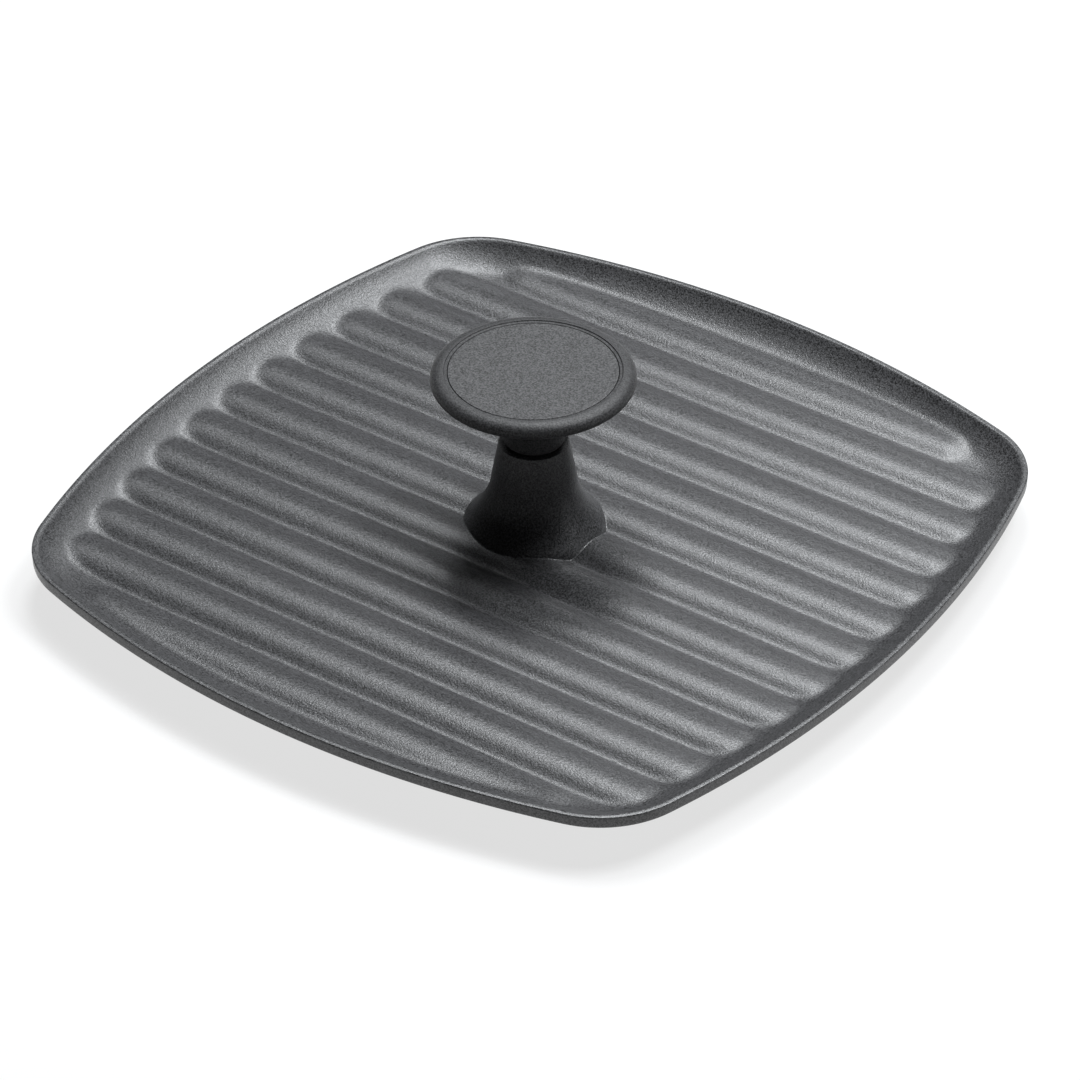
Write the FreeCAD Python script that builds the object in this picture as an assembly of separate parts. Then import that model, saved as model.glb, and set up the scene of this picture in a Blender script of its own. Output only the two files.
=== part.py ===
import FreeCAD, Part
import math
import os

# Square cast-iron grill press: a ribbed plate with an upturned rim and a cast
# boss, and a round moulded knob that screws onto a stud in the boss.
# Millimetres, +Z up, X along the ribs. Z = 0 is the plane of the ridge tips
# that press on the food, and the origin is under the middle of the boss.

# --- plate outline: a square with bowed sides and rounded corners ---
HALF_WIDTH = 121.0
SIDE_ARC_RADIUS = 311.0
CORNER_RADIUS = 30.0

# --- heights of the casting ---
RIDGE_HEIGHT = 4.2
WALL_THICKNESS = 4.6
RIM_RISE = 6.5
FLOOR_Z = RIDGE_HEIGHT + WALL_THICKNESS
RIM_Z = FLOOR_Z + RIM_RISE
LIP_HEIGHT = 3.7
LIP_EDGE = 0.5
RIM_LAND = 1.1
RIM_SHOULDER_RADIUS = 1.3
WALL_TOP_SLOPE = math.radians(36.5)
WALL_FOOT_SLOPE = math.radians(19.0)
WALL_STEPS = 4
UNDERSIDE_INSET = 13.0

# --- raised fingers on the top and grill ridges underneath ---
FINGER_PITCH = 16.9
FINGER_COUNT = 13
FINGER_RADIUS = 15.0
FINGER_HEIGHT = 2.0
FINGER_END_INSET = 13.0
OUTER_FINGER_HALF_LENGTH = 76.0
RIDGE_WIDTH = 4.6
RIDGE_DRAFT = 1.0
RIDGE_END_INSET = 18.0
# How far fingers, ridges and boss are carried on into the plate they grow from.
ROOT_SINK = 1.0
# How far the tray's cutter is carried on above the rim.
CUTTER_OVERLAP = 1.0

# --- boss: a cone down to its waist, then an arc through the bend to the flare ---
BOSS_TOP_Z = RIM_Z + 22.4
BOSS_TOP_RADIUS = 10.0
BOSS_WAIST_RADIUS = 12.5
BOSS_WAIST_Z = RIM_Z + 8.0
BOSS_BEND_RADIUS = 14.7
BOSS_BEND_Z = RIM_Z + 1.0
BOSS_FLARE_RADIUS = 19.0
BOSS_FLARE_Z = RIM_Z - 4.4
BOSS_FOOT_RADIUS = 20.7
BOSS_EDGE = 0.3

# --- M6 stud, its blind hole and the washer under the knob ---
STUD_RADIUS = 3.0
STUD_LENGTH = 26.0
STUD_DEPTH = 14.0
STUD_CHAMFER = 0.6
HOLE_BOTTOM_GAP = 2.0
WASHER_THICKNESS = 0.5
WASHER_RADIUS = 8.0
WASHER_BORE_RADIUS = 3.2

# --- knob ---
KNOB_BASE_Z = BOSS_TOP_Z + WASHER_THICKNESS
KNOB_TOP_Z = RIM_Z + 46.2
KNOB_RADIUS = 28.85
KNOB_EDGE_WIDTH = 3.5
KNOB_EDGE_THICKNESS = 5.0
NECK_RADIUS = 8.7
NECK_TOP_RADIUS = 9.0
NECK_EDGE = 0.8
NECK_HEIGHT = 9.0
TRUMPET_RADIUS = 11.9
TRUMPET_HEIGHT = 14.6
CAP_RADIUS = 23.9
CAP_THICKNESS = 2.0
CAP_RECESS = 0.3
INSERT_RADIUS = 5.5
INSERT_LENGTH = 13.0
INSERT_COLLAR_RADIUS = 6.4
INSERT_COLLAR_HEIGHT = 1.5
THREAD_CLEARANCE = 0.05


def vec(x, y, z):
    return FreeCAD.Vector(x, y, z)


def corner_geometry():
    """Centre of the upper-right corner arc and the angle its arcs meet the sides at."""
    # Each side arc has its centre on an axis, beyond the middle of the plate. A corner
    # arc touches both of its sides from inside, so its centre is nearer to each side's
    # centre by its own radius.
    offset = SIDE_ARC_RADIUS - HALF_WIDTH
    reach = SIDE_ARC_RADIUS - CORNER_RADIUS
    centre = (-offset + math.sqrt(2.0 * reach**2 - offset**2)) / 2.0
    angle = math.atan2(centre, centre + offset)
    return centre, angle


def plate_wire(inset, z):
    """The plate's outline, moved inwards by inset, at height z: four side and four corner arcs."""
    centre, angle = corner_geometry()
    offset = SIDE_ARC_RADIUS - HALF_WIDTH
    side_radius = SIDE_ARC_RADIUS - inset
    corner_radius = CORNER_RADIUS - inset
    edges = []
    for quarter in range(4):
        turn = quarter * math.pi / 2.0
        side_centre = (-offset * math.cos(turn), -offset * math.sin(turn))
        corner_turn = turn + math.pi / 4.0
        corner_reach = centre * math.sqrt(2.0)
        corner_centre = (corner_reach * math.cos(corner_turn), corner_reach * math.sin(corner_turn))
        edges.append(arc_edge(side_centre, side_radius, turn - angle, turn + angle, z))
        edges.append(arc_edge(corner_centre, corner_radius, turn + angle, turn + math.pi / 2.0 - angle, z))
    return Part.Wire(edges)


def arc_edge(centre, radius, start, end, z):
    """A horizontal arc between two angles about centre."""
    points = []
    for angle in (start, (start + end) / 2.0, end):
        points.append(vec(centre[0] + radius * math.cos(angle), centre[1] + radius * math.sin(angle), z))
    return Part.Arc(*points).toShape()


def lofted(sections):
    """A solid through the plate's outline at each (inset, z), with straight sides between them."""
    wires = [plate_wire(inset, z) for inset, z in sections]
    return Part.makeLoft(wires, True, True)


def outline_reach(y, inset):
    """Half the plate's length along X at y, inside the outline moved in by inset."""
    centre, angle = corner_geometry()
    offset = SIDE_ARC_RADIUS - HALF_WIDTH
    side_radius = SIDE_ARC_RADIUS - inset
    corner_radius = CORNER_RADIUS - inset
    if abs(y) <= side_radius * math.sin(angle):
        return math.sqrt(side_radius**2 - y**2) - offset
    return centre + math.sqrt(max(corner_radius**2 - (abs(y) - centre) ** 2, 0.0))


def revolved(points):
    """A solid of revolution about Z through (radius, z) points joined by straight lines."""
    corners = [vec(radius, 0.0, z) for radius, z in points]
    face = Part.Face(Part.makePolygon(corners + corners[:1]))
    return face.revolve(vec(0, 0, 0), vec(0, 0, 1), 360)


def edge_line(start, end):
    return Part.LineSegment(vec(start[0], 0.0, start[1]), vec(end[0], 0.0, end[1])).toShape()


def edge_arc(start, middle, end):
    return Part.Arc(*[vec(point[0], 0.0, point[1]) for point in (start, middle, end)]).toShape()


def revolved_edges(edges):
    """A solid of revolution about Z of a closed profile in the XZ plane."""
    face = Part.Face(Part.Wire(edges))
    return face.revolve(vec(0, 0, 0), vec(0, 0, 1), 360)


def casting_outside():
    """The plate's outer form: a thin lip above an underside that slopes in to a flat middle."""
    return lofted([
        (UNDERSIDE_INSET, RIDGE_HEIGHT),
        (LIP_EDGE, RIM_Z - LIP_HEIGHT),
        (0.0, RIM_Z - LIP_HEIGHT + LIP_EDGE),
        (0.0, RIM_Z - LIP_EDGE),
        (LIP_EDGE, RIM_Z),
    ])


def tray():
    """The hollow of the upper side: a tight round shoulder, then a long hollow arc to the floor."""
    shoulder_width = RIM_SHOULDER_RADIUS * math.sin(WALL_TOP_SLOPE)
    shoulder_drop = RIM_SHOULDER_RADIUS * (1.0 - math.cos(WALL_TOP_SLOPE))
    # The arc's radius is the one that takes up the rest of the rise between its two slopes.
    wall_radius = (RIM_RISE - shoulder_drop) / (math.cos(WALL_FOOT_SLOPE) - math.cos(WALL_TOP_SLOPE))
    sections = []
    for step in range(WALL_STEPS + 1):
        slope = WALL_FOOT_SLOPE + (WALL_TOP_SLOPE - WALL_FOOT_SLOPE) * step / WALL_STEPS
        inset = RIM_LAND + shoulder_width + wall_radius * (math.sin(WALL_TOP_SLOPE) - math.sin(slope))
        sections.append((inset, FLOOR_Z + wall_radius * (math.cos(WALL_FOOT_SLOPE) - math.cos(slope))))
    middle = WALL_TOP_SLOPE / 2.0
    middle_inset = RIM_LAND + RIM_SHOULDER_RADIUS * math.sin(middle)
    sections.append((middle_inset, RIM_Z - RIM_SHOULDER_RADIUS * (1.0 - math.cos(middle))))
    sections.append((RIM_LAND, RIM_Z))
    sections.append((RIM_LAND, RIM_Z + CUTTER_OVERLAP))
    return lofted(sections)


def finger(y, half_length):
    """A low rounded bar along X on the tray's floor, domed beyond +-half_length."""
    centre_z = FLOOR_Z + FINGER_HEIGHT - FINGER_RADIUS
    bar = Part.makeCylinder(FINGER_RADIUS, 2.0 * half_length, vec(-half_length, y, centre_z), vec(1, 0, 0))
    for end in (-half_length, half_length):
        bar = bar.fuse(Part.makeSphere(FINGER_RADIUS, vec(end, y, centre_z)))
    slab_length = 2.0 * (half_length + FINGER_RADIUS)
    slab = Part.makeBox(
        slab_length, 2.0 * FINGER_RADIUS, FINGER_HEIGHT + ROOT_SINK,
        vec(-slab_length / 2.0, y - FINGER_RADIUS, FLOOR_Z - ROOT_SINK),
    )
    return bar.common(slab)


def ridge(y):
    """A straight grill ridge along X under the plate, tapered towards its flat tip."""
    half_length = outline_reach(abs(y) + RIDGE_WIDTH / 2.0, RIDGE_END_INSET) - RIDGE_WIDTH / 2.0
    half_tip = RIDGE_WIDTH / 2.0 - RIDGE_DRAFT
    half_root = RIDGE_WIDTH / 2.0 + RIDGE_DRAFT * ROOT_SINK / RIDGE_HEIGHT
    wires = [
        stadium_wire(half_length, half_tip, y, 0.0),
        stadium_wire(half_length, half_root, y, RIDGE_HEIGHT + ROOT_SINK),
    ]
    return Part.makeLoft(wires, True, True)


def stadium_wire(half_length, radius, y, z):
    """A slot shape along X: two straight sides and two round ends."""
    low, high = y - radius, y + radius
    return Part.Wire([
        Part.LineSegment(vec(-half_length, low, z), vec(half_length, low, z)).toShape(),
        Part.Arc(vec(half_length, low, z), vec(half_length + radius, y, z), vec(half_length, high, z)).toShape(),
        Part.LineSegment(vec(half_length, high, z), vec(-half_length, high, z)).toShape(),
        Part.Arc(vec(-half_length, high, z), vec(-half_length - radius, y, z), vec(-half_length, low, z)).toShape(),
    ])


def boss():
    """The cast pillar in the middle of the plate, straight above and flared at its foot."""
    root_z = FLOOR_Z - ROOT_SINK
    top_outer = (BOSS_TOP_RADIUS, BOSS_TOP_Z - BOSS_EDGE)
    top_inner = (BOSS_TOP_RADIUS - BOSS_EDGE, BOSS_TOP_Z)
    waist = (BOSS_WAIST_RADIUS, BOSS_WAIST_Z)
    bend = (BOSS_BEND_RADIUS, BOSS_BEND_Z)
    flare = (BOSS_FLARE_RADIUS, BOSS_FLARE_Z)
    foot = (BOSS_FOOT_RADIUS, FLOOR_Z)
    edges = [
        edge_line((0.0, root_z), (0.0, BOSS_TOP_Z)),
        edge_line((0.0, BOSS_TOP_Z), top_inner),
        edge_line(top_inner, top_outer),
        edge_line(top_outer, waist),
        edge_arc(waist, bend, flare),
        edge_line(flare, foot),
        edge_line(foot, (BOSS_FOOT_RADIUS, root_z)),
        edge_line((BOSS_FOOT_RADIUS, root_z), (0.0, root_z)),
    ]
    return revolved_edges(edges)


def press_plate():
    """The enamelled casting: tray, fingers, ridges, boss and the blind stud hole."""
    middle = (FINGER_COUNT - 1) / 2.0
    ys = [(index - middle) * FINGER_PITCH for index in range(FINGER_COUNT)]
    half_lengths = [outline_reach(abs(y), FINGER_END_INSET) for y in ys]
    half_lengths[0] = half_lengths[-1] = OUTER_FINGER_HALF_LENGTH
    # The fingers run into the tray's wall, so they are kept inside the outer form.
    outside = casting_outside()
    pieces = [finger(y, half_length).common(outside) for y, half_length in zip(ys, half_lengths)]
    pieces += [ridge(y + FINGER_PITCH / 2.0) for y in ys[:-1]]
    pieces.append(boss())
    body = outside.cut(tray()).multiFuse(pieces)
    hole_depth = STUD_DEPTH + HOLE_BOTTOM_GAP
    hole = Part.makeCylinder(STUD_RADIUS, hole_depth, vec(0, 0, BOSS_TOP_Z - hole_depth))
    return body.cut(hole).removeSplitter()


def knob_stud():
    """Headless M6 stud, half in the boss and half in the knob."""
    low = BOSS_TOP_Z - STUD_DEPTH
    high = low + STUD_LENGTH
    inner = STUD_RADIUS - STUD_CHAMFER
    return revolved([
        (0.0, low), (inner, low), (STUD_RADIUS, low + STUD_CHAMFER),
        (STUD_RADIUS, high - STUD_CHAMFER), (inner, high), (0.0, high),
    ])


def knob_washer():
    """Thin flat washer between the boss and the knob's neck."""
    low = BOSS_TOP_Z
    high = BOSS_TOP_Z + WASHER_THICKNESS
    return revolved([
        (WASHER_BORE_RADIUS, low), (WASHER_RADIUS, low), (WASHER_RADIUS, high), (WASHER_BORE_RADIUS, high),
    ])


def insert_points():
    """Half profile of the threaded bush that is moulded into the knob."""
    low = KNOB_BASE_Z
    high = low + INSERT_LENGTH
    collar = low + INSERT_COLLAR_HEIGHT
    bore = STUD_RADIUS + THREAD_CLEARANCE
    return [
        (bore, low), (INSERT_COLLAR_RADIUS, low), (INSERT_COLLAR_RADIUS, collar),
        (INSERT_RADIUS, collar), (INSERT_RADIUS, high), (bore, high),
    ]


def knob_insert():
    """Collared brass bush with an M6 thread, moulded into the knob's neck."""
    return revolved(insert_points())


def knob_cap():
    """Thin disc set into the top of the knob."""
    high = KNOB_TOP_Z - CAP_RECESS
    low = high - CAP_THICKNESS
    return revolved([(0.0, low), (CAP_RADIUS, low), (CAP_RADIUS, high), (0.0, high)])


def knob():
    """Moulded knob: neck, trumpet-shaped underside, thin rolled edge and a seat for the cap."""
    base = KNOB_BASE_Z
    half_edge = KNOB_EDGE_THICKNESS / 2.0
    edge_z = KNOB_TOP_Z - half_edge
    edge_centre = KNOB_RADIUS - KNOB_EDGE_WIDTH
    edge_bottom = (edge_centre, edge_z - half_edge)
    seat_z = KNOB_TOP_Z - CAP_RECESS - CAP_THICKNESS
    neck_bottom = (NECK_RADIUS - NECK_EDGE, base)
    neck_edge = (NECK_RADIUS, base + NECK_EDGE)
    neck_top = (NECK_TOP_RADIUS, base + NECK_HEIGHT)
    ellipse = Part.Ellipse(
        vec(KNOB_RADIUS, 0, edge_z), vec(edge_centre, 0, KNOB_TOP_Z), vec(edge_centre, 0, edge_z)
    )
    edges = [
        edge_line((0.0, base), neck_bottom),
        edge_line(neck_bottom, neck_edge),
        edge_line(neck_edge, neck_top),
        edge_arc(neck_top, (TRUMPET_RADIUS, base + TRUMPET_HEIGHT), edge_bottom),
        Part.ArcOfEllipse(ellipse, -math.pi / 2.0, math.pi / 2.0).toShape(),
        edge_line((edge_centre, KNOB_TOP_Z), (CAP_RADIUS, KNOB_TOP_Z)),
        edge_line((CAP_RADIUS, KNOB_TOP_Z), (CAP_RADIUS, seat_z)),
        edge_line((CAP_RADIUS, seat_z), (0.0, seat_z)),
        edge_line((0.0, seat_z), (0.0, base)),
    ]
    insert_seat = [(0.0, KNOB_BASE_Z)] + insert_points()[1:-1] + [(0.0, KNOB_BASE_Z + INSERT_LENGTH)]
    return revolved_edges(edges).cut(revolved(insert_seat))


SUB_PARTS = {
    "press_plate": press_plate,
    "knob_stud": knob_stud,
    "knob_washer": knob_washer,
    "knob_insert": knob_insert,
    "knob": knob,
    "knob_cap": knob_cap,
}


def main():
    os.makedirs("parts", exist_ok=True)
    for name, make in SUB_PARTS.items():
        shape = make()
        box = shape.BoundBox
        print(
            name, "valid", shape.isValid(), "solids", len(shape.Solids), "volume", round(shape.Volume),
            "z", round(box.ZMin, 2), round(box.ZMax, 2), "faces", len(shape.Faces),
        )
        shape.exportStep(os.path.join("parts", name + ".step"))


main()
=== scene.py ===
import math

import bmesh
import bpy
import numpy as np
from mathutils import Matrix, Vector
from mathutils.geometry import delaunay_2d_cdt


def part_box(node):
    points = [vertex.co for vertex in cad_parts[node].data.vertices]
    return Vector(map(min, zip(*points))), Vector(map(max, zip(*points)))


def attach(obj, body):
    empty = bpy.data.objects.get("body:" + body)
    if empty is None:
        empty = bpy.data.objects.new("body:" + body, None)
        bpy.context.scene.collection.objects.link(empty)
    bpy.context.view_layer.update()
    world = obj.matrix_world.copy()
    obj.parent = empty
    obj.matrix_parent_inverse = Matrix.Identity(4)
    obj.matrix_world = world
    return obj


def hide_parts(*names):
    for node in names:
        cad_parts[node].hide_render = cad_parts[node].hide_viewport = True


# Looks of a square cast-iron grill press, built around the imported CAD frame.
# Shapes are worked out in millimetres and turned into metres when a mesh is made.

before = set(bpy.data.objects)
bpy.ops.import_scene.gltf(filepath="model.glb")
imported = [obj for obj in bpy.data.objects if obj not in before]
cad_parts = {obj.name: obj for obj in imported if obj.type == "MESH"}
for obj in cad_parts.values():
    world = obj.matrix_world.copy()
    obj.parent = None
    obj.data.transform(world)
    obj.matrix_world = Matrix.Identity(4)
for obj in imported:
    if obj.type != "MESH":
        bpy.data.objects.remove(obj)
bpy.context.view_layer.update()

MM = 0.001
PLATE_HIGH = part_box("press_plate")[1] / MM
KNOB_LOW, KNOB_HIGH = (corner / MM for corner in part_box("knob"))
CAP_LOW, CAP_HIGH = (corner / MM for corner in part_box("knob_cap"))
STUD_LOW, STUD_HIGH = (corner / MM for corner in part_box("knob_stud"))
INSERT_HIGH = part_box("knob_insert")[1] / MM

# --- the casting, heights measured from the crest of the rim unless they end in _Z ---
HALF_WIDTH = PLATE_HIGH.x
SIDE_ARC_RADIUS = 311.0
CORNER_RADIUS = 30.0
BOSS_TOP = 22.4
RIM_Z = PLATE_HIGH.z - BOSS_TOP
RIDGE_HEIGHT = 4.2
RIM_RISE = 6.5
LIP_HEIGHT = 3.7
LIP_DRAFT = 0.1
OUTER_EDGE = 0.3
LOWER_EDGE = 0.6
RIM_CREST = 1.1
RIM_CROWN = 0.12
RIM_SHOULDER_RADIUS = 1.3
WALL_TOP_SLOPE = math.radians(43.0)
WALL_FOOT_SLOPE = math.radians(14.0)
UNDERSIDE_FLAT_INSET = 15.0

# --- fingers on top and ridges underneath ---
FINGER_PITCH = 16.9
FINGER_COUNT = 13
FINGER_RADIUS = 15.0
FINGER_HEIGHT = 2.0
FINGER_END_INSET = 13.0
OUTER_FINGER_HALF_LENGTH = 76.0
FINGER_BLEND = 0.8
WALL_BLEND = 1.5
RIDGE_TIP_HALF = 1.3
RIDGE_ROOT_HALF = 2.4
RIDGE_END_INSET = 18.0
RIDGE_END_RAMP = 3.5
RIDGE_FILLET_SHARE = 0.55

# --- boss, with the points of its side's curves as (radius, height) ---
BOSS_TOP_RADIUS = 10.0
BOSS_EDGE = 0.3
BOSS_WAIST = (12.5, 8.0)
BOSS_FLARE = ((13.2, 4.8), (15.4, -0.2), (18.4, -3.2))
BOSS_FOOT = ((19.6, -4.4), (20.4, -5.6), (20.7, -7.4))
BOSS_BLEND = 0.35
BOSS_ZONE = 24.0
STUD_HOLE_DEPTH = 16.0

# --- stud ---
THREAD_PITCH = 1.0
THREAD_DEPTH = 0.55
THREAD_FLAT = 0.125
STUD_CHAMFER = 0.6

# --- knob, heights measured from its base ---
BORE_EDGE = 0.2
NECK_RADIUS = 8.7
NECK_EDGE = 0.8
NECK_TOP = (9.0, 9.0)
KNOB_EDGE_WIDTH = 3.5
KNOB_EDGE_THICKNESS = 5.0
KNOB_EDGE_OVERLAP = 0.02
TRUMPET_SWELL = (9.4, 14.3)
TRUMPET_HOLLOW = (14.0, 19.2)
CAP_STEP_WIDTH = 1.15
CAP_STEP_DEPTH = 0.3
CAP_STEP_TAPER = 0.15
CAP_STEP_FALL = 0.02
CAP_STEP_TOP_FILLET = 0.08
CAP_STEP_FOOT_FILLET = 0.1
CAP_GROOVE_WIDTH = 0.2
CAP_GROOVE_DEPTH = 0.8
CAP_CLEARANCE = 0.05
CAP_EDGE = 0.22
CAP_EDGE_ZONE = 0.9
CAP_FLAT_SHARES = (0.9, 0.75, 0.5, 0.25, 0.05)
INSERT_RADIUS = 5.5
INSERT_COLLAR = (6.4, 1.5)

# --- mesh spacing ---
RIM_STEP = 1.35
ROW_STEP = FINGER_PITCH / 26.0
COLUMN_STEP = 1.6
RIM_RING_INSETS = (0.8, 1.3, 1.8, 2.3, 2.8, 3.2, 3.6, 4.0, 4.5, 5.0, 5.6, 6.3, 7.1, 8.0, 9.0, 10.0, 11.0)
LIP_RING_SHARES = (0.35, 0.7, 1.0)
FILL_MARGIN = 0.6
RIDGE_OFFSETS = (0.7, 1.2, 1.4, 1.6, 1.85, 2.1, 2.3, 2.5, 2.9, 4.2, 6.2)
RIDGE_COLUMN_STEP = 4.0
RIDGE_RAMP_POINTS = 9
RIDGE_RAMP_MARGIN = 1.0
RIDGE_RAMP_OVERRUN = 0.3
BOSS_SEGMENTS = 144
BOSS_RING_STEP = 0.7
BOSS_FIRST_RING = 0.5
KNOB_SEGMENTS = 192
STUD_SEGMENTS = 48
THREAD_STEPS = 8

# --- camera and light ---
VIEW_AZIMUTH = math.radians(36.256)
VIEW_ELEVATION = math.radians(35.947)
VIEW_ROLL = math.radians(-0.439)
VIEW_DISTANCE = 1.5
VIEW_LENS = 176.5
VIEW_AIM_RIGHT = 1.5825
VIEW_AIM_UP = -9.947
SENSOR_WIDTH = 36.0
LIGHT_DISTANCE = 1.3
LIGHT_SIZE = 0.4
LIGHT_TINT = (0.975, 1.0, 1.022)
WORLD_STRENGTH = 0.02
FLOOR_HALF_SIZE = 4000.0


# ---------------------------------------------------------------- outline

def outline_centres():
    """Side arcs' offset, a corner arc's centre coordinate, and the angle where they meet."""
    offset = SIDE_ARC_RADIUS - HALF_WIDTH
    reach = SIDE_ARC_RADIUS - CORNER_RADIUS
    centre = (-offset + math.sqrt(2.0 * reach**2 - offset**2)) / 2.0
    return offset, centre, math.atan2(centre, centre + offset)


ARC_OFFSET, CORNER_CENTRE, JOIN_ANGLE = outline_centres()


def outline(step):
    """Points along the plate's outline, about step apart, and the outward normal at each."""
    points, normals = [], []
    corner_reach = CORNER_CENTRE * math.sqrt(2.0)
    for quarter in range(4):
        turn = quarter * math.pi / 2.0
        diagonal = turn + math.pi / 4.0
        side_end, corner_end = turn + JOIN_ANGLE, turn + math.pi / 2.0 - JOIN_ANGLE
        arcs = (
            (-ARC_OFFSET, turn, SIDE_ARC_RADIUS, turn - JOIN_ANGLE, side_end),
            (corner_reach, diagonal, CORNER_RADIUS, side_end, corner_end),
        )
        for reach, heading, radius, start, end in arcs:
            count = round(radius * (end - start) / step)
            angles = start + (end - start) * np.arange(count) / count
            normal = np.stack([np.cos(angles), np.sin(angles)], -1)
            centre = reach * np.array([math.cos(heading), math.sin(heading)])
            points.append(centre + radius * normal)
            normals.append(normal)
    return np.concatenate(points), np.concatenate(normals)


def inset_at(x, y):
    """How far inside the outline each point is."""
    ax, ay = np.abs(x), np.abs(y)
    core = SIDE_ARC_RADIUS - CORNER_RADIUS
    side = np.hypot(ax + ARC_OFFSET, ay) - core
    end = np.hypot(ax, ay + ARC_OFFSET) - core
    heading = np.arctan2(ay - CORNER_CENTRE, ax - CORNER_CENTRE)
    in_corner = (heading > JOIN_ANGLE) & (heading < math.pi / 2.0 - JOIN_ANGLE)
    in_corner &= (ax > CORNER_CENTRE) & (ay > CORNER_CENTRE)
    corner = np.hypot(ax - CORNER_CENTRE, ay - CORNER_CENTRE)
    return CORNER_RADIUS - np.where(in_corner, corner, np.maximum(side, end))


def reach_at(y, inset):
    """Half the plate's length along X at y, inside the outline moved in by inset."""
    radius = SIDE_ARC_RADIUS - inset
    if abs(y) <= radius * math.sin(JOIN_ANGLE):
        return math.sqrt(radius**2 - y**2) - ARC_OFFSET
    corner = CORNER_RADIUS - inset
    return CORNER_CENTRE + math.sqrt(max(corner**2 - (abs(y) - CORNER_CENTRE) ** 2, 0.0))


# ---------------------------------------------------------------- heights

def smooth_max(a, b, width):
    """The larger of two heights, blended where they differ by less than width."""
    share = np.clip(0.5 + 0.5 * (a - b) / width, 0.0, 1.0)
    return b * (1.0 - share) + a * share + width * share * (1.0 - share)


def rim_height(inset):
    """The crowned rim, its round shoulder and the tray's wall, a long hollow arc down to the floor."""
    shoulder_width = RIM_SHOULDER_RADIUS * math.sin(WALL_TOP_SLOPE)
    shoulder_drop = RIM_SHOULDER_RADIUS * (1.0 - math.cos(WALL_TOP_SLOPE))
    fall = RIM_RISE - shoulder_drop
    radius = fall / (math.cos(WALL_FOOT_SLOPE) - math.cos(WALL_TOP_SLOPE))
    foot = shoulder_width + radius * (math.sin(WALL_TOP_SLOPE) - math.sin(WALL_FOOT_SLOPE))
    u = inset - RIM_CREST
    shoulder = np.sqrt(np.maximum(RIM_SHOULDER_RADIUS**2 - u**2, 0.0)) - RIM_SHOULDER_RADIUS
    along = np.minimum(foot - u, foot) + radius * math.sin(WALL_FOOT_SLOPE)
    wall = radius * math.cos(WALL_FOOT_SLOPE) - np.sqrt(np.maximum(radius**2 - along**2, 0.0))
    wall = np.where(u > foot, -math.tan(WALL_FOOT_SLOPE) * (u - foot), wall) - RIM_RISE
    z = np.where(u < shoulder_width, shoulder, wall)
    return np.where(u < 0.0, -RIM_CROWN * u**2, z)


def finger_rows():
    """The fingers' places along Y."""
    middle = (FINGER_COUNT - 1) / 2.0
    return [(index - middle) * FINGER_PITCH for index in range(FINGER_COUNT)]


def finger_half_length(row):
    """Half the length of a finger's crest line, up to where its domed end begins."""
    if abs(row) > max(finger_rows()) - FINGER_PITCH / 2.0:
        return OUTER_FINGER_HALF_LENGTH
    return reach_at(row, FINGER_END_INSET)


def finger_height(x, y):
    """Height of the nearest finger over the tray's floor, negative between fingers."""
    middle = (FINGER_COUNT - 1) / 2.0
    index = np.clip(np.round(y / FINGER_PITCH), -middle, middle).astype(int)
    half_lengths = np.array([finger_half_length(row) for row in finger_rows()])
    past_end = np.maximum(np.abs(x) - half_lengths[index + int(middle)], 0.0)
    distance = np.hypot(past_end, y - index * FINGER_PITCH)
    inside = np.maximum(FINGER_RADIUS**2 - distance**2, 0.0)
    return FINGER_HEIGHT - FINGER_RADIUS + np.sqrt(inside)


def top_height(x, y):
    """The casting's upper surface, without the boss."""
    floor = smooth_max(finger_height(x, y), np.zeros_like(x), FINGER_BLEND) - RIM_RISE
    return smooth_max(rim_height(inset_at(x, y)), floor, WALL_BLEND)


def bottom_height(x, y):
    """The underside: a flat with straight grill ridges that fall to it at their ends."""
    last = FINGER_COUNT // 2 - 0.5
    row = np.clip(np.round(y / FINGER_PITCH - 0.5) + 0.5, -last, last) * FINGER_PITCH
    across = np.abs(y - row)
    ends = np.array([ridge_end(value) for value in np.abs(row).ravel()]).reshape(row.shape)
    flank = np.clip((RIDGE_ROOT_HALF - across) / (RIDGE_ROOT_HALF - RIDGE_TIP_HALF), 0.0, 1.0)
    ramp = np.clip((ends - np.abs(x)) / RIDGE_END_RAMP, 0.0, 1.0)
    rise = soft_step(flank) * np.sin(ramp * math.pi / 2.0)
    return RIDGE_HEIGHT * (1.0 - rise) - RIM_Z


def soft_step(share):
    """A straight slope with small fillets at its foot and its top."""
    eased = share * share * (3.0 - 2.0 * share)
    return RIDGE_FILLET_SHARE * eased + (1.0 - RIDGE_FILLET_SHARE) * share


def ridge_end(row):
    """Half the length of the ridge at a row, with its end ramps."""
    return reach_at(row + RIDGE_ROOT_HALF, RIDGE_END_INSET)


def bezier(start, first, second, end, count):
    """Points of a cubic curve, leaving out its start."""
    start, first, second, end = (np.array(point) for point in (start, first, second, end))
    points = []
    for t in np.linspace(0.0, 1.0, count)[1:]:
        curve = (1 - t) ** 3 * start + 3 * t * (1 - t) ** 2 * first
        points.append(tuple(curve + 3 * t**2 * (1 - t) * second + t**3 * end))
    return points


def boss_profile():
    """(radius, height) down the boss's side, from its rounded top edge to past its foot."""
    points = []
    for angle in np.linspace(math.pi / 2.0, 0.0, 5):
        radius = BOSS_TOP_RADIUS - BOSS_EDGE + BOSS_EDGE * math.cos(angle)
        points.append((radius, BOSS_TOP - BOSS_EDGE + BOSS_EDGE * math.sin(angle)))
    waist = np.array(BOSS_WAIST)
    start = np.array(points[-1])
    for share in np.linspace(0.0, 1.0, 16)[1:]:
        points.append(tuple(start + (waist - start) * share))
    points += bezier(waist, *BOSS_FLARE, count=30)
    return points + bezier(points[-1], *BOSS_FOOT, count=14)


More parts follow.
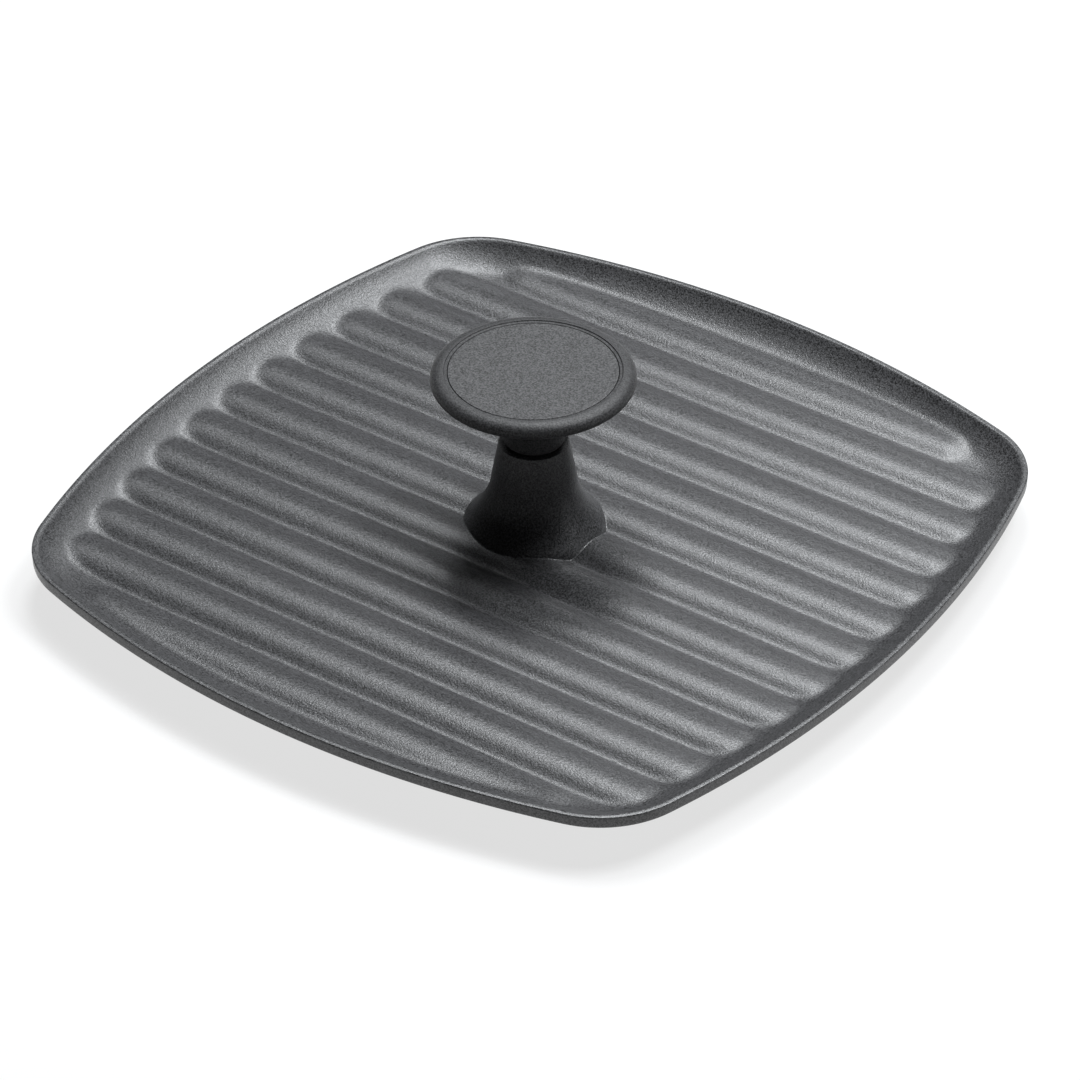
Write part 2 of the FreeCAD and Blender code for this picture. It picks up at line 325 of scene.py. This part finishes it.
# ---------------------------------------------------------------- mesh making

class Builder:
    """Collects rings, points and faces of one mesh, in millimetres."""

    def __init__(self):
        self.points = []
        self.faces = []

    def add(self, x, y, z):
        """Adds points and returns their indices."""
        start = len(self.points)
        self.points.extend(zip(x, y, z))
        return list(range(start, len(self.points)))

    def join(self, ring, following):
        """Quads between two closed rings with the same number of points."""
        count = len(ring)
        for i in range(count):
            j = (i + 1) % count
            self.faces.append((ring[i], ring[j], following[j], following[i]))

    def close(self, ring, z):
        """A fan from a ring to one point in its middle."""
        middle = self.add([0.0], [0.0], [z])[0]
        for i in range(len(ring)):
            self.faces.append((ring[i], ring[(i + 1) % len(ring)], middle))

    def make(self, name, material):
        """Turns the collected faces into a smooth-shaded object, in metres."""
        mesh = bpy.data.meshes.new(name)
        mesh.from_pydata([tuple(v * MM for v in point) for point in self.points], [], self.faces)
        mesh.validate()
        mesh.materials.append(material)
        piece = bpy.data.objects.new(name, mesh)
        bpy.context.scene.collection.objects.link(piece)
        face_outwards(mesh)
        mesh.shade_smooth()
        return piece


def face_outwards(mesh):
    """Makes all faces agree and point out of the closed mesh."""
    built = bmesh.new()
    built.from_mesh(mesh)
    bmesh.ops.recalc_face_normals(built, faces=built.faces)
    built.to_mesh(mesh)
    built.free()


def fill(builder, border, inner, hole, height):
    """Triangles between a border ring and inner points, around a hole ring if there is one."""
    flat = [Vector(builder.points[i][:2]) for i in border + hole] + [Vector(p) for p in inner]
    triangles = delaunay_2d_cdt(flat, [], [], 0, 1e-6)[2]
    inner = np.array(inner)
    added = builder.add(inner[:, 0], inner[:, 1], height(inner[:, 0], inner[:, 1]))
    index = border + hole + added
    first_hole, last_hole = len(border), len(border) + len(hole)
    for triangle in triangles:
        if all(first_hole <= corner < last_hole for corner in triangle):
            continue
        builder.faces.append(tuple(index[corner] for corner in triangle))


def lathe(profile, segments):
    """The rings of an (r, z) profile turned about Z, joined but still open at both ends."""
    builder = Builder()
    angles = np.arange(segments) * 2.0 * math.pi / segments
    rings = []
    for radius, z in profile:
        x, y = radius * np.cos(angles), radius * np.sin(angles)
        rings.append(builder.add(x, y, np.full(segments, z)))
    for ring, following in zip(rings, rings[1:]):
        builder.join(ring, following)
    return builder, rings


def rounded(corners):
    """An (r, z) polyline with rounded corners: each corner is (r, z, length of the cut)."""
    points = []
    for i, (r, z, fillet) in enumerate(corners):
        here = np.array([r, z])
        if fillet == 0.0 or i in (0, len(corners) - 1):
            points.append(tuple(here))
            continue
        before = np.array(corners[i - 1][:2]) - here
        after = np.array(corners[i + 1][:2]) - here
        before = before / np.linalg.norm(before)
        after = after / np.linalg.norm(after)
        for t in np.linspace(0.0, 1.0, 7):
            start, end = here + before * fillet, here + after * fillet
            points.append(tuple((1 - t) ** 2 * start + 2 * t * (1 - t) * here + t**2 * end))
    return points


# ---------------------------------------------------------------- materials

def new_material(name):
    """A material with its nodes and links."""
    material = bpy.data.materials.new(name)
    material.use_nodes = True
    return material, material.node_tree.nodes, material.node_tree.links


def noise(nodes, links, coordinates, scale, detail, roughness=0.6):
    """Noise in the object's own coordinates."""
    node = nodes.new("ShaderNodeTexNoise")
    node.inputs["Scale"].default_value = scale
    node.inputs["Detail"].default_value = detail
    node.inputs["Roughness"].default_value = roughness
    links.new(coordinates.outputs["Object"], node.inputs["Vector"])
    return node.outputs["Fac"]


def ramp(nodes, links, value, stops):
    """Colours at the given positions of a value."""
    node = nodes.new("ShaderNodeValToRGB")
    elements = node.color_ramp.elements
    while len(elements) < len(stops):
        elements.new(0.5)
    for element, (position, colour) in zip(elements, stops):
        element.position = position
        element.color = (*colour, 1.0)
    links.new(value, node.inputs["Fac"])
    return node.outputs["Color"]


def spread(nodes, links, value, low, high):
    """Stretches the middle of a noise's range, 0.3 to 0.7, from low to high."""
    node = nodes.new("ShaderNodeMapRange")
    node.inputs["From Min"].default_value = 0.3
    node.inputs["From Max"].default_value = 0.7
    node.inputs["To Min"].default_value = low
    node.inputs["To Max"].default_value = high
    links.new(value, node.inputs["Value"])
    return node.outputs["Result"]


def bump(nodes, links, height, distance, strength, normal=None):
    """A bumped normal. The distance is in metres."""
    node = nodes.new("ShaderNodeBump")
    node.inputs["Strength"].default_value = strength
    node.inputs["Distance"].default_value = distance
    links.new(height, node.inputs["Height"])
    if normal is not None:
        links.new(normal, node.inputs["Normal"])
    return node.outputs["Normal"]


def enamel():
    """Matt dark grey enamel on cast iron: fine grain over a slightly uneven skin."""
    material, nodes, links = new_material("matt_enamel")
    shader = nodes["Principled BSDF"]
    where = nodes.new("ShaderNodeTexCoord")
    grain = noise(nodes, links, where, scale=2000.0, detail=2.0, roughness=0.7)
    skin = noise(nodes, links, where, scale=420.0, detail=2.0)
    darker, lighter = (0.002, 0.002, 0.0022), (0.078, 0.078, 0.081)
    colour = ramp(nodes, links, grain, [(0.38, darker), (0.62, lighter)])
    links.new(colour, shader.inputs["Base Color"])
    links.new(spread(nodes, links, grain, low=0.38, high=0.29), shader.inputs["Roughness"])
    uneven = bump(nodes, links, skin, distance=0.0002, strength=0.12)
    grained = bump(nodes, links, grain, distance=0.00009, strength=1.0, normal=uneven)
    links.new(grained, shader.inputs["Normal"])
    shader.inputs["Specular IOR Level"].default_value = 0.5
    return material


def moulding(name, grain_size, grain_depth, tint):
    """Matt moulded phenolic with a fine spark-eroded texture. Sizes are in metres."""
    material, nodes, links = new_material(name)
    shader = nodes["Principled BSDF"]
    where = nodes.new("ShaderNodeTexCoord")
    grain = noise(nodes, links, where, scale=1.0 / grain_size, detail=2.0, roughness=0.7)
    darker = tuple(channel * 0.15 for channel in tint)
    lighter = tuple(channel * 2.1 for channel in tint)
    colour = ramp(nodes, links, grain, [(0.35, darker), (0.65, lighter)])
    links.new(colour, shader.inputs["Base Color"])
    links.new(spread(nodes, links, grain, low=0.56, high=0.46), shader.inputs["Roughness"])
    links.new(bump(nodes, links, grain, grain_depth, strength=0.6), shader.inputs["Normal"])
    shader.inputs["Specular IOR Level"].default_value = 0.3
    return material


def turned_metal(name, tint, roughness):
    """Plain machined metal with fine turning marks and a little tarnish."""
    material, nodes, links = new_material(name)
    shader = nodes["Principled BSDF"]
    where = nodes.new("ShaderNodeTexCoord")
    marks = nodes.new("ShaderNodeTexWave")
    marks.wave_type = "RINGS"
    marks.rings_direction = "Z"
    marks.inputs["Scale"].default_value = 900.0
    marks.inputs["Distortion"].default_value = 1.5
    links.new(where.outputs["Object"], marks.inputs["Vector"])
    tarnish = noise(nodes, links, where, scale=260.0, detail=3.0)
    dull = tuple(channel * 0.7 for channel in tint)
    links.new(ramp(nodes, links, tarnish, [(0.35, dull), (0.65, tint)]), shader.inputs["Base Color"])
    worn = spread(nodes, links, tarnish, low=roughness - 0.06, high=roughness + 0.1)
    links.new(worn, shader.inputs["Roughness"])
    turned = bump(nodes, links, marks.outputs["Fac"], distance=0.00003, strength=0.4)
    links.new(turned, shader.inputs["Normal"])
    shader.inputs["Metallic"].default_value = 1.0
    return material


def pale_floor():
    """A pale floor that glows, so that it stays white and its shadows stay soft."""
    material, nodes = new_material("pale_floor")[:2]
    shader = nodes["Principled BSDF"]
    shader.inputs["Base Color"].default_value = (0.2, 0.2, 0.2, 1.0)
    shader.inputs["Roughness"].default_value = 0.8
    shader.inputs["Specular IOR Level"].default_value = 0.1
    shader.inputs["Emission Color"].default_value = (1.0, 1.0, 1.0, 1.0)
    shader.inputs["Emission Strength"].default_value = 0.72
    return material


# ---------------------------------------------------------------- pieces

def plate_rings(builder):
    """The casting's outer rings. Returns the innermost ring on the upper side and on the underside."""
    points, normals = outline(RIM_STEP)
    count = len(points)

    def ring(inset, z):
        at = points - normals * inset
        heights = np.full(count, z) if np.isscalar(z) else z
        return builder.add(at[:, 0], at[:, 1], heights + RIM_Z)

    edge_top = float(rim_height(np.array([OUTER_EDGE]))[0])
    rings = []
    for inset in reversed((OUTER_EDGE, *RIM_RING_INSETS)):
        at = points - normals * inset
        rings.append(ring(inset, top_height(at[:, 0], at[:, 1])))
    for angle in np.linspace(math.pi / 2.0, 0.0, 4)[1:]:
        drop = OUTER_EDGE * (1.0 - math.sin(angle))
        rings.append(ring(OUTER_EDGE * (1.0 - math.cos(angle)), edge_top - drop))
    lip_top, lip_foot = edge_top - OUTER_EDGE, -LIP_HEIGHT + LOWER_EDGE
    for share in LIP_RING_SHARES:
        rings.append(ring(LIP_DRAFT * share, lip_top + (lip_foot - lip_top) * share))
    for angle in np.linspace(0.0, math.pi / 2.0, 5)[1:]:
        drop = LOWER_EDGE * math.sin(angle)
        rings.append(ring(LIP_DRAFT + LOWER_EDGE * (1.0 - math.cos(angle)), lip_foot - drop))
    under = RIDGE_HEIGHT - RIM_Z
    start_inset = LIP_DRAFT + LOWER_EDGE
    for share in np.linspace(0.0, 1.0, 10)[1:]:
        inset = start_inset + (UNDERSIDE_FLAT_INSET - start_inset) * share
        fall = math.sin(share * math.pi / 2.0)
        rings.append(ring(inset, -LIP_HEIGHT + (under + LIP_HEIGHT) * fall))
    for first, second in zip(rings, rings[1:]):
        builder.join(first, second)
    return rings[0], rings[-1]


def boss_rings(builder):
    """The boss, its stud hole and the ribbed ground round its foot. Returns the outermost ring."""
    angles = np.arange(BOSS_SEGMENTS) * 2.0 * math.pi / BOSS_SEGMENTS
    cos, sin = np.cos(angles), np.sin(angles)
    profile = boss_profile()
    foot_radius, foot_height = profile[-1]
    for radius in np.arange(foot_radius + BOSS_FIRST_RING, BOSS_ZONE + BOSS_RING_STEP / 2.0, BOSS_RING_STEP):
        profile.append((radius, foot_height - 2.0 * BOSS_BLEND))
    hole, mouth = STUD_HIGH.x, RIM_Z + BOSS_TOP
    hole_floor = mouth - STUD_HOLE_DEPTH
    rings = []
    for radius, z in ((hole, hole_floor), (hole, mouth - BOSS_EDGE), (hole + BOSS_EDGE, mouth)):
        rings.append(builder.add(radius * cos, radius * sin, np.full(BOSS_SEGMENTS, z)))
    builder.close(rings[0], hole_floor)
    for radius, height in profile:
        x, y = radius * cos, radius * sin
        ground = top_height(x, y)
        z = smooth_max(np.full(BOSS_SEGMENTS, height), ground, BOSS_BLEND)
        rings.append(builder.add(x, y, z + RIM_Z))
    for first, second in zip(rings, rings[1:]):
        builder.join(first, second)
    return rings[-1]


def top_points():
    """Grid points on the ribbed floor, in rows along the fingers."""
    rows = int(HALF_WIDTH / ROW_STEP)
    columns = int(HALF_WIDTH / COLUMN_STEP)
    places = np.arange(-rows, rows + 1) * ROW_STEP, np.arange(-columns, columns + 1) * COLUMN_STEP
    y, x = np.meshgrid(*places)
    x, y = x.ravel(), y.ravel()
    inside_rim = inset_at(x, y) > RIM_RING_INSETS[-1] + FILL_MARGIN
    keep = inside_rim & (np.hypot(x, y) > BOSS_ZONE + BOSS_RING_STEP)
    return np.stack([x[keep], y[keep]], -1).tolist()


def bottom_points():
    """Points on the underside, close together on the ridges' edges and ends."""
    offsets = sorted({0.0, *RIDGE_OFFSETS, *(-offset for offset in RIDGE_OFFSETS)})
    points = []
    last = FINGER_COUNT // 2 - 0.5
    rows = (np.arange(FINGER_COUNT - 1) - last) * FINGER_PITCH
    for row in rows:
        end = ridge_end(abs(row))
        ramp_start = end - RIDGE_END_RAMP
        along = list(np.arange(0.0, ramp_start - RIDGE_RAMP_MARGIN, RIDGE_COLUMN_STEP))
        along += list(np.linspace(ramp_start, end + RIDGE_RAMP_OVERRUN, RIDGE_RAMP_POINTS))
        along += list(np.arange(end + RIDGE_COLUMN_STEP / 2.0, HALF_WIDTH, RIDGE_COLUMN_STEP))
        for offset in offsets:
            for x in along:
                sides = (1.0, -1.0) if x > 0.0 else (1.0,)
                points += [(side * x, row + offset) for side in sides]
    points = np.array(points)
    keep = inset_at(points[:, 0], points[:, 1]) > UNDERSIDE_FLAT_INSET + FILL_MARGIN
    return points[keep].tolist()


def press_plate(material):
    """The whole casting as one closed mesh."""
    builder = Builder()
    top_ring, bottom_ring = plate_rings(builder)
    boss_ring = boss_rings(builder)
    fill(builder, top_ring, top_points(), boss_ring, lambda x, y: top_height(x, y) + RIM_Z)
    fill(builder, bottom_ring, bottom_points(), [], lambda x, y: bottom_height(x, y) + RIM_Z)
    return builder.make("cast_plate", material)


def knob_profile():
    """(r, z) outline of the knob from the insert's hole, round the edge, to the cap's seat."""
    base, top = KNOB_LOW.z, KNOB_HIGH.z
    collar_radius, collar_height = INSERT_COLLAR
    half_edge = KNOB_EDGE_THICKNESS / 2.0
    edge_centre, edge_z = KNOB_HIGH.x - KNOB_EDGE_WIDTH, top - half_edge
    neck_radius, neck_height = NECK_TOP
    points = rounded([
        (INSERT_RADIUS, INSERT_HIGH.z, 0.0),
        (INSERT_RADIUS, base + collar_height, 0.0),
        (collar_radius, base + collar_height, 0.0),
        (collar_radius, base, BORE_EDGE),
        (NECK_RADIUS, base, NECK_EDGE),
        (neck_radius, base + neck_height, 0.0),
    ])
    # The trumpet-shaped underside runs from the neck to the bottom of the rolled edge.
    swell = (TRUMPET_SWELL[0], base + TRUMPET_SWELL[1])
    hollow = (TRUMPET_HOLLOW[0], base + TRUMPET_HOLLOW[1])
    points += bezier(points[-1], swell, hollow, (edge_centre, edge_z - half_edge), count=28)
    for angle in np.linspace(-math.pi / 2.0, math.pi / 2.0, 25)[1:]:
        across, rise = KNOB_EDGE_WIDTH * math.cos(angle), half_edge * math.sin(angle)
        points.append((edge_centre + across, edge_z + rise))
    # A shallow step and a thin groove run round the cap.
    step_radius, seat_radius = CAP_HIGH.x + CAP_STEP_WIDTH, CAP_HIGH.x + CAP_CLEARANCE
    points += rounded([
        (edge_centre - KNOB_EDGE_OVERLAP, top, 0.0),
        (step_radius, top, CAP_STEP_TOP_FILLET),
        (step_radius - CAP_STEP_TAPER, top - CAP_STEP_DEPTH, CAP_STEP_FOOT_FILLET),
        (CAP_HIGH.x + CAP_GROOVE_WIDTH, top - CAP_STEP_DEPTH - CAP_STEP_FALL, CAP_STEP_FOOT_FILLET),
        (seat_radius, top - CAP_GROOVE_DEPTH, 0.0),
        (seat_radius, CAP_LOW.z, 0.0),
    ])
    return points


def knob(material):
    """The knob's moulding, closed over the insert's hole and under the cap's seat."""
    builder, rings = lathe(knob_profile(), KNOB_SEGMENTS)
    builder.close(rings[0], INSERT_HIGH.z)
    builder.close(rings[-1], CAP_LOW.z)
    return builder.make("knob_body", material)


def knob_cap(material):
    """The flat disc in the knob's top, with a rounded edge."""
    radius, top, low = CAP_HIGH.x, CAP_HIGH.z, CAP_LOW.z
    profile = rounded([(radius, low, 0.0), (radius, top, CAP_EDGE), (radius - CAP_EDGE_ZONE, top, 0.0)])
    profile += [(radius * share, top) for share in CAP_FLAT_SHARES]
    builder, rings = lathe(profile, KNOB_SEGMENTS)
    builder.close(rings[0], low)
    builder.close(rings[-1], top)
    return builder.make("knob_top_disc", material)


def stud(material):
    """M6 stud with a real helical thread."""
    low, high, radius = STUD_LOW.z, STUD_HIGH.z, STUD_HIGH.x
    builder = Builder()
    angles = np.arange(STUD_SEGMENTS) * 2.0 * math.pi / STUD_SEGMENTS
    rings = []
    for z in np.linspace(low, high, int((high - low) / THREAD_PITCH * THREAD_STEPS) + 1):
        phase = (z / THREAD_PITCH - angles / (2.0 * math.pi)) % 1.0
        flank = np.abs(phase - 0.5) * 2.0 * (1.0 + 2.0 * THREAD_FLAT) - THREAD_FLAT
        chamfer = max(0.0, STUD_CHAMFER - min(z - low, high - z))
        r = np.minimum(radius - THREAD_DEPTH * np.clip(flank, 0.0, 1.0), radius - chamfer)
        rings.append(builder.add(r * np.cos(angles), r * np.sin(angles), np.full(STUD_SEGMENTS, z)))
    for first, second in zip(rings, rings[1:]):
        builder.join(first, second)
    builder.close(rings[0], low)
    builder.close(rings[-1], high)
    return builder.make("threaded_stud", material)


def build_pieces():
    """Makes the pieces and puts each in place of its CAD node, or paints the CAD node itself."""
    plate = press_plate(enamel())
    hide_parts("press_plate")
    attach(plate, "plate")

    dark = moulding("knob_moulding", grain_size=0.0005, grain_depth=0.00015, tint=(0.024, 0.024, 0.025))
    body = knob(dark)
    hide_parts("knob")
    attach(body, "knob")

    grey = moulding("cap_moulding", grain_size=0.0005, grain_depth=0.0002, tint=(0.037, 0.037, 0.038))
    disc = knob_cap(grey)
    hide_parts("knob_cap")
    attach(disc, "knob")

    thread = stud(turned_metal("stud_steel", tint=(0.55, 0.55, 0.53), roughness=0.32))
    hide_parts("knob_stud")
    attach(thread, "plate")

    # The washer is near black, far darker than the stud's plain steel.
    paint("knob_washer", turned_metal("washer_steel", tint=(0.05, 0.05, 0.05), roughness=0.45))
    paint("knob_insert", turned_metal("insert_brass", tint=(0.72, 0.53, 0.24), roughness=0.3))


def paint(node, material):
    """Gives a carried-over CAD node its material."""
    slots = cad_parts[node].material_slots
    for entry in slots:
        entry.material = material


# ---------------------------------------------------------------- stage

def make_floor():
    """A wide flat floor under the ridges' tips."""
    builder = Builder()
    size = FLOOR_HALF_SIZE
    corners = builder.add([-size, size, size, -size], [-size, -size, size, size], [0.0] * 4)
    builder.faces.append(tuple(corners))
    floor = builder.make("floor", pale_floor())


def view_axes():
    """Right, up and back directions of the camera, as unit vectors."""
    flat = math.cos(VIEW_ELEVATION)
    across, along = math.sin(VIEW_AZIMUTH) * flat, -math.cos(VIEW_AZIMUTH) * flat
    back = Vector((across, along, math.sin(VIEW_ELEVATION)))
    right = Vector((0.0, 0.0, 1.0)).cross(back).normalized()
    up = back.cross(right)
    roll = Matrix.Rotation(VIEW_ROLL, 3, back)
    return roll @ right, roll @ up, back


def make_camera():
    """The photograph's camera. It aims a little to one side of the middle of the rim's plane."""
    right, up, back = view_axes()
    aim = Vector((0.0, 0.0, RIM_Z * MM)) + (right * VIEW_AIM_RIGHT + up * VIEW_AIM_UP) * MM
    data = bpy.data.cameras.new("camera")
    data.lens = VIEW_LENS
    data.sensor_width = SENSOR_WIDTH
    data.clip_end = 20.0
    camera = bpy.data.objects.new("camera", data)
    turn = Matrix((right, up, back)).transposed().to_4x4()
    camera.matrix_world = Matrix.Translation(aim + back * VIEW_DISTANCE) @ turn
    bpy.context.scene.collection.objects.link(camera)
    bpy.context.scene.camera = camera


def softbox(name, azimuth, elevation, watts):
    """A square area light that faces the press. Azimuth 0 is -Y and 90 is +X, in degrees."""
    data = bpy.data.lights.new(name, "AREA")
    data.shape = "SQUARE"
    data.size = LIGHT_SIZE
    data.energy = watts
    data.color = LIGHT_TINT
    light = bpy.data.objects.new(name, data)
    turn, rise = math.radians(azimuth), math.radians(elevation)
    flat = math.cos(rise)
    away = Vector((math.sin(turn) * flat, -math.cos(turn) * flat, math.sin(rise)))
    light.location = away * LIGHT_DISTANCE
    light.rotation_euler = away.to_track_quat("Z", "Y").to_euler()
    bpy.context.scene.collection.objects.link(light)


def make_lights():
    """Softboxes behind and above the press, and a faint white surround."""
    softbox("back_right", 143.0, 63.0, 11.5)
    softbox("back", 167.0, 63.0, 5.0)
    softbox("back_left", 213.0, 63.0, 12.6)
    softbox("top", 215.0, 78.0, 3.3)
    softbox("back_low", 195.0, 25.0, 1.6)
    softbox("left_low", 240.0, 38.0, 1.0)
    softbox("right_low", 110.0, 20.0, 0.7)
    world = bpy.data.worlds.new("studio")
    world.use_nodes = True
    background = world.node_tree.nodes["Background"]
    background.inputs["Color"].default_value = (1.0, 1.0, 1.0, 1.0)
    background.inputs["Strength"].default_value = WORLD_STRENGTH
    bpy.context.scene.world = world
    bpy.context.scene.view_settings.view_transform = "Standard"


make_camera()
build_pieces()
make_floor()
make_lights()
